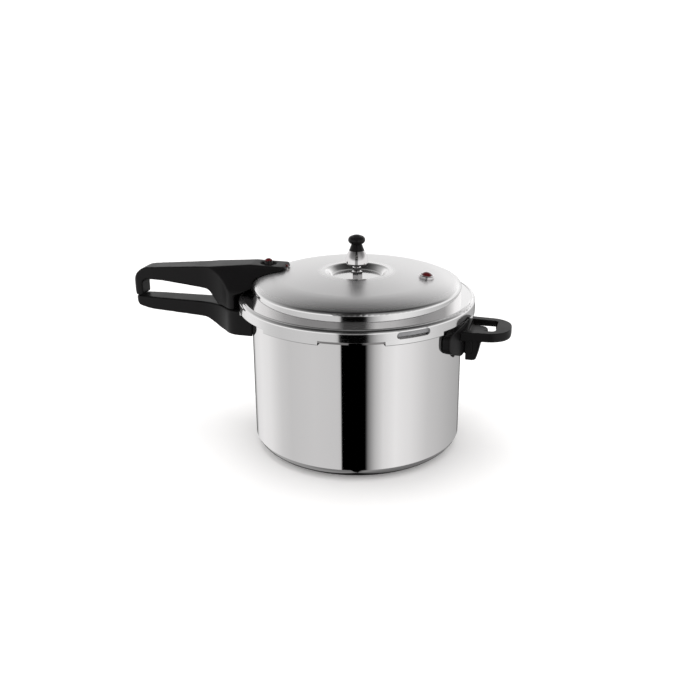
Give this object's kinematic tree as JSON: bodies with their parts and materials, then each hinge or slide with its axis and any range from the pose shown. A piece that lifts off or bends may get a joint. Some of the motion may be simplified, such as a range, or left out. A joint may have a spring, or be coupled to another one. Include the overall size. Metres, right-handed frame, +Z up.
{
  "type": "pressure canner",
  "caption": "Stovetop pressure canner with a bayonet lid, weighted regulator, two long handles, a helper handle and an inner rack.",
  "frame": {"origin": "centre of the pot's flat base, on the surface it stands on", "axes": "+Z up along the pot's axis; the two long handles point along -X and the helper handle along +X"},
  "size_m": [0.453, 0.2686, 0.2457],
  "materials": {
    "polished_aluminium": "mirror polished",
    "rack_aluminium": "satin",
    "gasket_rubber": "smooth grey",
    "black_phenolic": "fine satin, moulded",
    "bracket_steel": "plated",
    "screw_steel": "plated",
    "bright_chrome": "bright",
    "red_signal": "glossy dark red"
  },
  "bodies": {
    "pot": {"pot_body": "polished_aluminium", "pot_handle_bracket": "bracket_steel", "pot_handle": "black_phenolic", "pot_handle_screw": "screw_steel", "helper_bracket": "bracket_steel", "helper_plate": "black_phenolic", "helper_grip": "black_phenolic", "helper_screw": "screw_steel"},
    "rack": {"canning_rack": "rack_aluminium"},
    "lid": {"lid_shell": "polished_aluminium", "sealing_gasket": "gasket_rubber", "lid_handle": "black_phenolic", "lid_handle_bracket": "bracket_steel", "lid_handle_screws": "screw_steel", "nose_stud": "screw_steel", "nose_lens": "red_signal", "vent_pipe": "bright_chrome", "vent_nut": "bright_chrome", "lock_boss": "black_phenolic", "lock_guide": "screw_steel", "overpressure_plug": "red_signal", "plug_ring": "bright_chrome"},
    "regulator": {"regulator_bell": "bright_chrome", "regulator_knob": "black_phenolic", "regulator_seat": "bracket_steel"},
    "lock": {"lock_pin": "screw_steel", "lock_seal": "gasket_rubber", "lock_cap": "red_signal"}
  },
  "joints": [
    {"name": "lid_turn", "type": "hinge", "parent": "pot", "child": "lid", "pos_m": [0, 0, 0.16], "axis": [0, 0, 1], "range_deg": [0, 30]},
    {"name": "regulator_lift", "type": "slide", "parent": "lid", "child": "regulator", "axis": [0, 0, 1], "range_m": [0, 0.03]},
    {"name": "lock_rise", "type": "slide", "parent": "lid", "child": "lock", "axis": [0, 0, 1], "range_m": [0, 0.005]},
    {"name": "rack_lift", "type": "slide", "parent": "pot", "child": "rack", "axis": [0, 0, 1], "range_m": [0, 0.12]}
  ]
}
